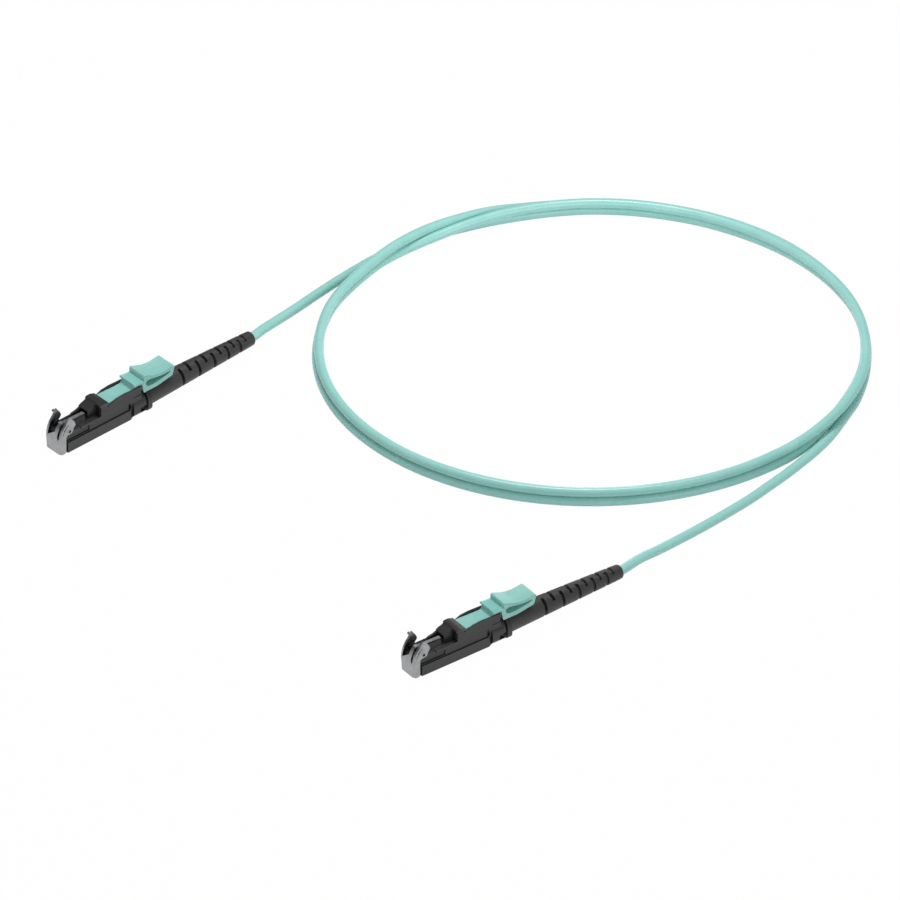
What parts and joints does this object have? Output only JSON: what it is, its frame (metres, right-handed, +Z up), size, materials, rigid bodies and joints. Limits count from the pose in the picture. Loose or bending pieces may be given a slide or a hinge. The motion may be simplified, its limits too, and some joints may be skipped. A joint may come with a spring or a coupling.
{
  "type": "fiber optic patch cord",
  "caption": "Simplex fibre patch cord: slim shuttered push-pull plug at each end, aqua latch levers, ribbed black boots and a coiled aqua cable.",
  "frame": {"origin": "on the first plug's flat resting face, on its centre line, 15 mm behind the closed shutter's face", "axes": "+X runs along the first plug from its shutter towards its cable, +Y across it, +Z up from the surface that the cord lies on"},
  "size_m": [0.2348, 0.1727, 0.0136],
  "materials": {
    "housing_black": "satin moulded black plastic",
    "boot_black": "matt moulded black elastomer",
    "lever_aqua": "satin moulded aqua plastic",
    "jacket_aqua": "satin extruded aqua jacket",
    "buffer_aqua": "smooth tight buffer",
    "stamped_steel": "stamped spring steel, fine grain",
    "turned_metal": "turned and nickel plated",
    "crimp_metal": "drawn tube, crimped",
    "spring_wire": "drawn stainless wire",
    "ceramic": "polished white zirconia",
    "aramid_yellow": "loose yellow yarn"
  },
  "bodies": {
    "cord": {"plug_body_a": "housing_black", "lever_pin_a": "turned_metal", "shutter_pin_a": "turned_metal", "shutter_leaf_spring_a": "stamped_steel", "ferrule_spring_a": "spring_wire", "inner_frame_a": "housing_black", "crimp_body_a": "turned_metal", "crimp_ring_a": "crimp_metal", "boot_collar_a": "housing_black", "boot_a": "boot_black", "fibre_buffer_a": "buffer_aqua", "aramid_yarn_a": "aramid_yellow", "plug_body_b": "housing_black", "lever_pin_b": "turned_metal", "shutter_pin_b": "turned_metal", "shutter_leaf_spring_b": "stamped_steel", "ferrule_spring_b": "spring_wire", "inner_frame_b": "housing_black", "crimp_body_b": "turned_metal", "crimp_ring_b": "crimp_metal", "boot_collar_b": "housing_black", "boot_b": "boot_black", "fibre_buffer_b": "buffer_aqua", "aramid_yarn_b": "aramid_yellow", "cable_leg_a": "jacket_aqua", "cable_coil": "jacket_aqua", "cable_leg_b": "jacket_aqua"},
    "shutter_a": {"shutter_a": "stamped_steel"},
    "lever_a": {"lever_a": "lever_aqua"},
    "ferrule_a": {"ferrule_a": "ceramic", "ferrule_flange_a": "turned_metal"},
    "shutter_b": {"shutter_b": "stamped_steel"},
    "lever_b": {"lever_b": "lever_aqua"},
    "ferrule_b": {"ferrule_b": "ceramic", "ferrule_flange_b": "turned_metal"}
  },
  "joints": [
    {"name": "shutter_a_open", "type": "hinge", "parent": "cord", "child": "shutter_a", "pos_m": [-0.0114, 0, 0.0076], "axis": [0, 1, 0], "range_deg": [0, 85], "stiffness_Nm_per_rad": 0.001, "springref_deg": -11.46},
    {"name": "lever_a_press", "type": "hinge", "parent": "cord", "child": "lever_a", "pos_m": [0.0024, 0, 0.0092], "axis": [0, 1, 0], "range_deg": [0, 2], "stiffness_Nm_per_rad": 0.3, "springref_deg": -1.15},
    {"name": "ferrule_a_float", "type": "slide", "parent": "cord", "child": "ferrule_a", "axis": [1, 0, 0], "range_m": [0, 0.0012], "stiffness_N_per_m": 1000, "springref_m": -0.001, "deforming": ["ferrule_spring_a"]},
    {"name": "shutter_b_open", "type": "hinge", "parent": "cord", "child": "shutter_b", "pos_m": [-0.00621, -0.15481, 0.0076], "axis": [0.0872, 0.9962, 0], "range_deg": [0, 85], "stiffness_Nm_per_rad": 0.001, "springref_deg": -11.46},
    {"name": "lever_b_press", "type": "hinge", "parent": "cord", "child": "lever_b", "pos_m": [0.00753, -0.15602, 0.0092], "axis": [0.0872, 0.9962, 0], "range_deg": [0, 2], "stiffness_Nm_per_rad": 0.3, "springref_deg": -1.15},
    {"name": "ferrule_b_float", "type": "slide", "parent": "cord", "child": "ferrule_b", "axis": [0.9962, -0.0872, 0], "range_m": [0, 0.0012], "stiffness_N_per_m": 1000, "springref_m": -0.001, "deforming": ["ferrule_spring_b"]}
  ]
}
